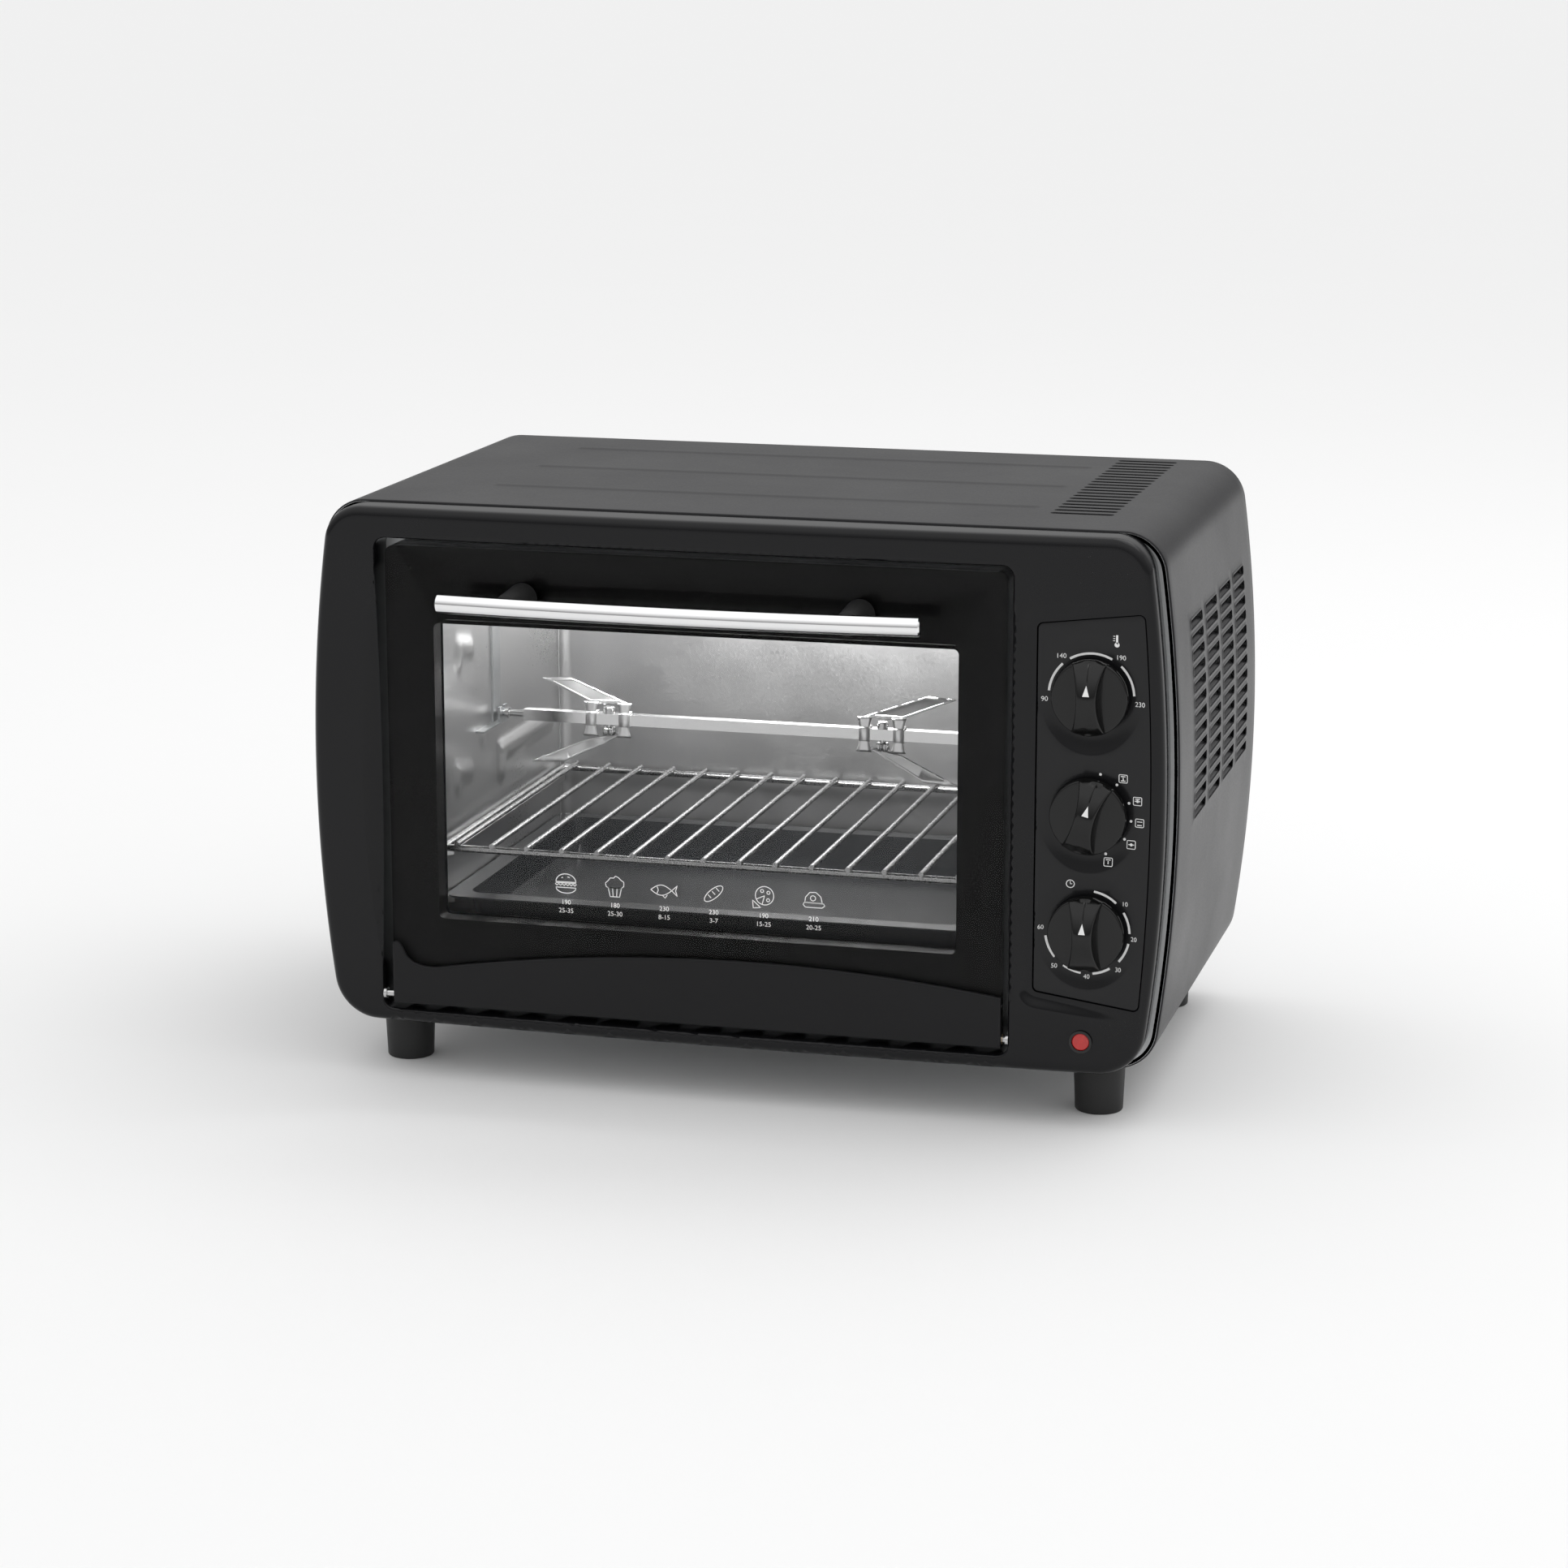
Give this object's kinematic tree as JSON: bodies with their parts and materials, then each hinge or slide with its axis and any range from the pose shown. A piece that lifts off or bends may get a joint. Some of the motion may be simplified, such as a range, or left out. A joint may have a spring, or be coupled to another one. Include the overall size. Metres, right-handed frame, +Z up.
{
  "type": "toaster oven",
  "caption": "Countertop toaster oven with a drop-down glass door, bowed bar handle, rotisserie, wire rack, baking tray and rotary controls beside the door.",
  "frame": {"origin": "on the table under the middle of the whole oven, handle and cord gland included", "axes": "+X to the oven's right as its user faces it (controls side), +Y to the rear, +Z up"},
  "size_m": [0.491, 0.3345, 0.3258],
  "materials": {
    "casing_enamel": "satin black stove enamel",
    "bezel_plastic": "semi-gloss black",
    "control_plastic": "satin black with printed white marks",
    "knob_plastic": "semi-gloss black",
    "lamp_red": "translucent red",
    "zinc_steel": "satin galvanised",
    "cavity_steel": "bright satin aluminised",
    "heater_sheath": "heat-tinted",
    "ceramic": "unglazed ceramic",
    "door_enamel": "satin black",
    "door_glass": "clear, black border print",
    "chrome": "polished",
    "wire_chrome": "bright plated",
    "tray_enamel": "glossy dark enamel",
    "foot_plastic": "matt black",
    "brass": "plain",
    "screw_steel": "zinc plated",
    "switch_plastic": "plain cream"
  },
  "bodies": {
    "casing": {"outer_wrapper": "casing_enamel", "rear_panel": "zinc_steel", "rear_screws": "screw_steel", "cord_gland": "foot_plastic", "base_plate": "zinc_steel", "feet": "foot_plastic", "foot_screws": "screw_steel", "front_panel": "zinc_steel", "front_bezel": "bezel_plastic", "control_plate": "control_plastic", "power_lamp_lens": "lamp_red", "power_lamp_ring": "foot_plastic", "power_lamp_body": "switch_plastic", "thermostat": "switch_plastic", "selector_switch": "switch_plastic", "timer": "zinc_steel", "terminal_block": "switch_plastic", "cavity_left_wall": "cavity_steel", "cavity_right_wall": "cavity_steel", "cavity_back": "cavity_steel", "cavity_roof": "cavity_steel", "cavity_floor": "cavity_steel", "heater_insulators": "ceramic", "upper_heater_front": "heater_sheath", "upper_heater_rear": "heater_sheath", "lower_heater_front": "heater_sheath", "lower_heater_rear": "heater_sheath", "rotisserie_motor": "zinc_steel", "spit_support": "zinc_steel", "hinge_pins": "screw_steel"},
    "door": {"door_frame": "door_enamel", "hinge_bushes": "brass", "outer_glass": "door_glass", "inner_glass": "door_glass", "door_liner": "door_enamel", "liner_screws": "screw_steel", "door_trim": "bezel_plastic", "handle_bar": "chrome", "handle_posts": "foot_plastic", "handle_screws": "screw_steel"},
    "temperature_knob": {"temperature_knob": "knob_plastic", "temperature_shaft": "screw_steel"},
    "selector_knob": {"selector_knob": "knob_plastic", "selector_shaft": "screw_steel"},
    "timer_knob": {"timer_knob": "knob_plastic", "timer_shaft": "screw_steel"},
    "spit": {"spit_rod": "wire_chrome", "drive_socket": "screw_steel", "fork_left": "wire_chrome", "fork_right": "wire_chrome", "fork_screws": "wire_chrome"},
    "rack": {"wire_rack": "wire_chrome"},
    "tray": {"baking_tray": "tray_enamel"}
  },
  "joints": [
    {"name": "door_hinge", "type": "hinge", "parent": "casing", "child": "door", "pos_m": [-0.01975, -0.124, 0.047], "axis": [1, 0, 0], "range_deg": [0, 90]},
    {"name": "temperature_turn", "type": "hinge", "parent": "casing", "child": "temperature_knob", "pos_m": [0.2, -0.13, 0.239], "axis": [0, 1, 0], "range_deg": [-100, 100]},
    {"name": "selector_turn", "type": "hinge", "parent": "casing", "child": "selector_knob", "pos_m": [0.2, -0.13, 0.1745], "axis": [0, 1, 0], "range_deg": [0, 150]},
    {"name": "timer_turn", "type": "hinge", "parent": "casing", "child": "timer_knob", "pos_m": [0.2, -0.13, 0.11], "axis": [0, 1, 0], "range_deg": [0, 285]},
    {"name": "spit_spin", "type": "hinge", "parent": "casing", "child": "spit", "pos_m": [-0.01975, -0.005, 0.186], "axis": [1, 0, 0], "continuous": true},
    {"name": "rack_slide", "type": "slide", "parent": "casing", "child": "rack", "axis": [0, -1, 0], "range_m": [0, 0.11]},
    {"name": "tray_slide", "type": "slide", "parent": "casing", "child": "tray", "axis": [0, -1, 0], "range_m": [0, 0.071]}
  ],
  "couplings": [
    {"joint": "rack_slide", "follows": "door_hinge", "m_per_rad": 0.07},
    {"joint": "tray_slide", "follows": "door_hinge", "m_per_rad": 0.045}
  ]
}
